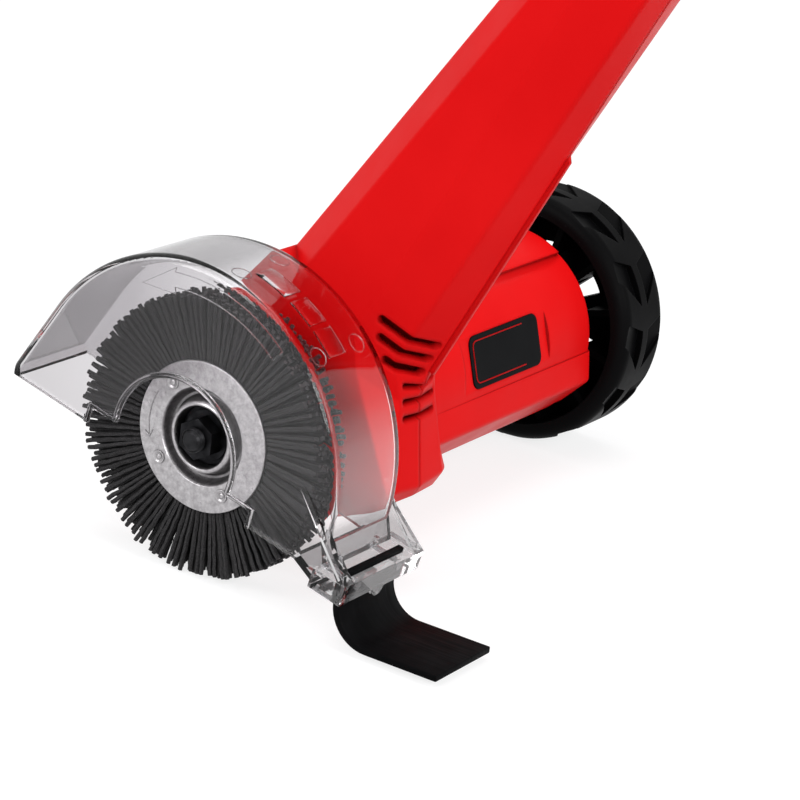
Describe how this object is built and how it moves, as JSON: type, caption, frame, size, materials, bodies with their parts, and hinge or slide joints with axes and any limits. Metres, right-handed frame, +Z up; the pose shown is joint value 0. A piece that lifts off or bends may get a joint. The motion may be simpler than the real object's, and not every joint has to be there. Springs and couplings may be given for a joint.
{
  "type": "electric patio cleaner",
  "caption": "Corded patio cleaner: rotary nylon brush under a clear guard, geared motor and support wheel, on a telescopic pole with a looped switch handle and a bow grip.",
  "frame": {"origin": "on the floor under the spindle, in the plane where the two halves of the housing meet", "axes": "+Z up, +X along the spindle from the brush to the wheel, +Y forward in the working direction; the pole leans back towards -Y"},
  "size_m": [0.252, 0.663, 0.9992],
  "materials": {
    "housing_red": "satin moulded plastic",
    "label_black": "smooth printed plate, no print",
    "screw_steel": "zinc plated",
    "cast_aluminium": "die cast",
    "shaft_steel": "ground",
    "gear_steel": "sintered",
    "bearing_steel": "ground",
    "bush_bronze": "sintered",
    "sheet_stack": "stacked sheets",
    "copper": "enamelled winding",
    "carbon": "pressed carbon",
    "holder_plastic": "moulded",
    "hub_steel": "galvanised sheet",
    "black_steel": "blackened",
    "bristle_nylon": "nylon strands",
    "guard_clear": "clear, slightly smoky",
    "flap_rubber": "matt",
    "wheel_black": "moulded",
    "bush_plastic": "moulded",
    "pole_aluminium": "anodised",
    "black_plastic": "moulded",
    "soft_grip": "soft touch",
    "button_grey": "moulded"
  },
  "bodies": {
    "head": {"brush_side_shell": "housing_red", "wheel_side_shell": "housing_red", "housing_screws": "screw_steel", "name_plate": "label_black", "gear_plate": "cast_aluminium", "motor_plate": "cast_aluminium", "spindle_bearings": "bearing_steel", "countershaft_bushes": "bush_bronze", "motor_bearings": "bearing_steel", "stator_core": "sheet_stack", "field_coils": "copper", "carbon_brushes": "carbon", "carbon_holders": "holder_plastic", "guard": "guard_clear", "guard_screws": "screw_steel", "flap": "flap_rubber", "flap_rivets": "screw_steel", "wheel_axle": "shaft_steel", "wheel_nut": "black_steel", "lower_tube": "pole_aluminium", "tube_screws": "screw_steel", "clamp_collar": "black_plastic"},
    "brush": {"spindle": "shaft_steel", "spindle_gear": "gear_steel", "brush_near_plate": "hub_steel", "brush_far_plate": "hub_steel", "arbor_bush": "hub_steel", "bristles_near": "bristle_nylon", "bristles_far": "bristle_nylon", "spindle_washer": "hub_steel", "spindle_nut": "black_steel"},
    "layshaft": {"countershaft": "shaft_steel", "countershaft_gear": "gear_steel"},
    "rotor": {"motor_pinion": "gear_steel", "motor_shaft": "shaft_steel", "cooling_fan": "holder_plastic", "armature_core": "sheet_stack", "armature_windings": "copper", "commutator": "copper"},
    "support_wheel": {"wheel": "wheel_black", "wheel_bush": "bush_plastic", "wheel_cap": "wheel_black"},
    "upper_pole": {"upper_tube": "pole_aluminium", "handle_left_shell": "housing_red", "handle_right_shell": "housing_red", "grip_pad": "soft_grip", "handle_screws": "screw_steel", "trigger_pin": "shaft_steel", "switch_unit": "holder_plastic", "cord_gland": "flap_rubber", "bow_clamp_front": "black_plastic", "bow_clamp_rear": "black_plastic", "bow_clamp_screws": "screw_steel", "bow_bolt": "shaft_steel"},
    "pole_nut": {"twist_nut": "black_plastic"},
    "bow": {"bow_handle": "black_plastic"},
    "bow_tightener": {"bow_knob": "black_plastic"},
    "switch_lever": {"trigger": "black_plastic"},
    "lock_off": {"lock_off_button": "button_grey"}
  },
  "joints": [
    {"name": "brush_spin", "type": "hinge", "parent": "head", "child": "brush", "pos_m": [0, 0, 0.05], "axis": [1, 0, 0], "continuous": true},
    {"name": "layshaft_spin", "type": "hinge", "parent": "head", "child": "layshaft", "pos_m": [0, -0.0104, 0.06801], "axis": [1, 0, 0], "continuous": true},
    {"name": "rotor_spin", "type": "hinge", "parent": "head", "child": "rotor", "pos_m": [0, 0, 0.05], "axis": [1, 0, 0], "continuous": true},
    {"name": "wheel_spin", "type": "hinge", "parent": "head", "child": "support_wheel", "pos_m": [0, 0, 0.05], "axis": [1, 0, 0], "continuous": true},
    {"name": "telescope", "type": "slide", "parent": "head", "child": "upper_pole", "axis": [0, -0.5, 0.866], "range_m": [0, 0.2]},
    {"name": "pole_nut_turn", "type": "hinge", "parent": "head", "child": "pole_nut", "pos_m": [0, -0.31359, 0.58486], "axis": [0, -0.5, 0.866], "range_deg": [0, 120]},
    {"name": "bow_tilt", "type": "hinge", "parent": "upper_pole", "child": "bow", "pos_m": [0, -0.34912, 0.70869], "axis": [1, 0, 0], "range_deg": [-60, 35]},
    {"name": "bow_knob_turn", "type": "hinge", "parent": "upper_pole", "child": "bow_tightener", "pos_m": [0, -0.34912, 0.70869], "axis": [1, 0, 0], "range_deg": [0, 360]},
    {"name": "trigger_pull", "type": "hinge", "parent": "upper_pole", "child": "switch_lever", "pos_m": [0, -0.47579, 0.8561], "axis": [-1, 0, 0], "range_deg": [0, 8], "stiffness_Nm_per_rad": 1, "springref_deg": -8.59},
    {"name": "lock_off_press", "type": "slide", "parent": "upper_pole", "child": "lock_off", "axis": [1, 0, 0], "range_m": [0, 0.0035], "stiffness_N_per_m": 400, "springref_m": -0.004}
  ],
  "couplings": [
    {"joint": "layshaft_spin", "follows": "brush_spin", "ratio": -2.7143},
    {"joint": "rotor_spin", "follows": "brush_spin", "ratio": 9.0476}
  ]
}
